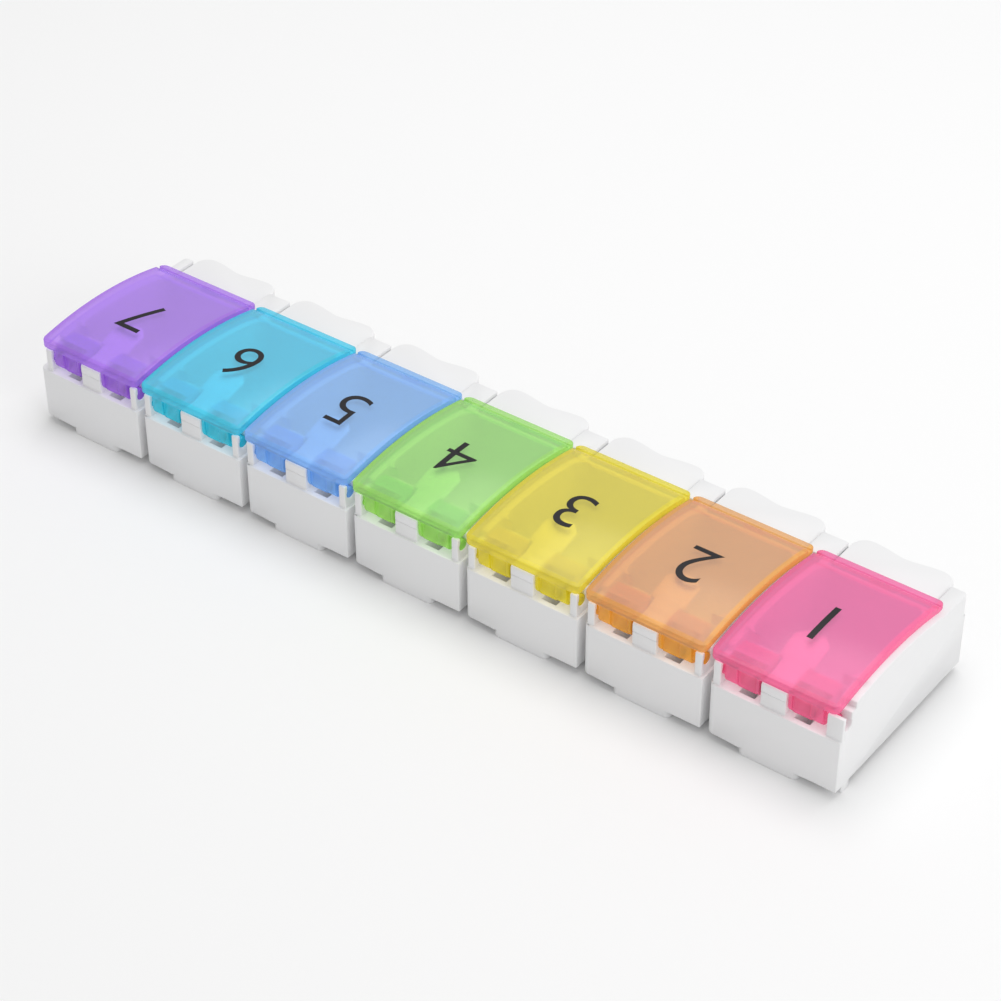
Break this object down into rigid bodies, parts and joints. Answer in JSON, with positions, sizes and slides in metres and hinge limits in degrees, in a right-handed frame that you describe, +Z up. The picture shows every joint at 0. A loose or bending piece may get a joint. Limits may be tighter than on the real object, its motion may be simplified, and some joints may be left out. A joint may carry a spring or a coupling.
{
  "type": "weekly pill organizer",
  "caption": "Weekly pill organizer: one row of tubs with arched tinted lids that spring open when the push button behind each one is pressed.",
  "frame": {"origin": "bottom centre of the bounding box, on the surface that the feet stand on", "axes": "+X along the row of tubs, -Y the hinge side, +Y the push-button side, +Z up"},
  "size_m": [0.236, 0.0584, 0.0273],
  "materials": {
    "white_plastic": "smooth moulded polypropylene, soft gloss",
    "white_spring_plastic": "moulded acetal, soft gloss",
    "tinted_purple": "translucent tinted polypropylene, smooth",
    "tinted_cyan": "translucent tinted polypropylene, smooth",
    "tinted_blue": "translucent tinted polypropylene, smooth",
    "tinted_green": "translucent tinted polypropylene, smooth",
    "tinted_yellow": "translucent tinted polypropylene, smooth",
    "tinted_orange": "translucent tinted polypropylene, smooth",
    "tinted_pink": "translucent tinted polypropylene, smooth"
  },
  "bodies": {
    "base": {"tray_sat": "white_plastic", "tray_fri": "white_plastic", "tray_thu": "white_plastic", "tray_wed": "white_plastic", "tray_tue": "white_plastic", "tray_mon": "white_plastic", "tray_sun": "white_plastic", "lid_spring_sat": "white_spring_plastic", "button_spring_sat": "white_spring_plastic", "lid_spring_fri": "white_spring_plastic", "button_spring_fri": "white_spring_plastic", "lid_spring_thu": "white_spring_plastic", "button_spring_thu": "white_spring_plastic", "lid_spring_wed": "white_spring_plastic", "button_spring_wed": "white_spring_plastic", "lid_spring_tue": "white_spring_plastic", "button_spring_tue": "white_spring_plastic", "lid_spring_mon": "white_spring_plastic", "button_spring_mon": "white_spring_plastic", "lid_spring_sun": "white_spring_plastic", "button_spring_sun": "white_spring_plastic"},
    "lid_sat": {"lid_sat": "tinted_purple"},
    "button_sat": {"push_button_sat": "white_plastic"},
    "lid_fri": {"lid_fri": "tinted_cyan"},
    "button_fri": {"push_button_fri": "white_plastic"},
    "lid_thu": {"lid_thu": "tinted_blue"},
    "button_thu": {"push_button_thu": "white_plastic"},
    "lid_wed": {"lid_wed": "tinted_green"},
    "button_wed": {"push_button_wed": "white_plastic"},
    "lid_tue": {"lid_tue": "tinted_yellow"},
    "button_tue": {"push_button_tue": "white_plastic"},
    "lid_mon": {"lid_mon": "tinted_orange"},
    "button_mon": {"push_button_mon": "white_plastic"},
    "lid_sun": {"lid_sun": "tinted_pink"},
    "button_sun": {"push_button_sun": "white_plastic"}
  },
  "joints": [
    {"name": "lid_hinge_sat", "type": "hinge", "parent": "base", "child": "lid_sat", "pos_m": [-0.1005, -0.02625, 0.0196], "axis": [1, 0, 0], "range_deg": [0, 100]},
    {"name": "button_slide_sat", "type": "slide", "parent": "base", "child": "button_sat", "axis": [0, 0, -1], "range_m": [0, 0.0018], "stiffness_N_per_m": 500, "springref_m": -0.001, "deforming": ["button_spring_sat"]},
    {"name": "lid_hinge_fri", "type": "hinge", "parent": "base", "child": "lid_fri", "pos_m": [-0.067, -0.02625, 0.0196], "axis": [1, 0, 0], "range_deg": [0, 100]},
    {"name": "button_slide_fri", "type": "slide", "parent": "base", "child": "button_fri", "axis": [0, 0, -1], "range_m": [0, 0.0018], "stiffness_N_per_m": 500, "springref_m": -0.001, "deforming": ["button_spring_fri"]},
    {"name": "lid_hinge_thu", "type": "hinge", "parent": "base", "child": "lid_thu", "pos_m": [-0.0335, -0.02625, 0.0196], "axis": [1, 0, 0], "range_deg": [0, 100]},
    {"name": "button_slide_thu", "type": "slide", "parent": "base", "child": "button_thu", "axis": [0, 0, -1], "range_m": [0, 0.0018], "stiffness_N_per_m": 500, "springref_m": -0.001, "deforming": ["button_spring_thu"]},
    {"name": "lid_hinge_wed", "type": "hinge", "parent": "base", "child": "lid_wed", "pos_m": [0, -0.02625, 0.0196], "axis": [1, 0, 0], "range_deg": [0, 100]},
    {"name": "button_slide_wed", "type": "slide", "parent": "base", "child": "button_wed", "axis": [0, 0, -1], "range_m": [0, 0.0018], "stiffness_N_per_m": 500, "springref_m": -0.001, "deforming": ["button_spring_wed"]},
    {"name": "lid_hinge_tue", "type": "hinge", "parent": "base", "child": "lid_tue", "pos_m": [0.0335, -0.02625, 0.0196], "axis": [1, 0, 0], "range_deg": [0, 100]},
    {"name": "button_slide_tue", "type": "slide", "parent": "base", "child": "button_tue", "axis": [0, 0, -1], "range_m": [0, 0.0018], "stiffness_N_per_m": 500, "springref_m": -0.001, "deforming": ["button_spring_tue"]},
    {"name": "lid_hinge_mon", "type": "hinge", "parent": "base", "child": "lid_mon", "pos_m": [0.067, -0.02625, 0.0196], "axis": [1, 0, 0], "range_deg": [0, 100]},
    {"name": "button_slide_mon", "type": "slide", "parent": "base", "child": "button_mon", "axis": [0, 0, -1], "range_m": [0, 0.0018], "stiffness_N_per_m": 500, "springref_m": -0.001, "deforming": ["button_spring_mon"]},
    {"name": "lid_hinge_sun", "type": "hinge", "parent": "base", "child": "lid_sun", "pos_m": [0.1005, -0.02625, 0.0196], "axis": [1, 0, 0], "range_deg": [0, 100]},
    {"name": "button_slide_sun", "type": "slide", "parent": "base", "child": "button_sun", "axis": [0, 0, -1], "range_m": [0, 0.0018], "stiffness_N_per_m": 500, "springref_m": -0.001, "deforming": ["button_spring_sun"]}
  ]
}
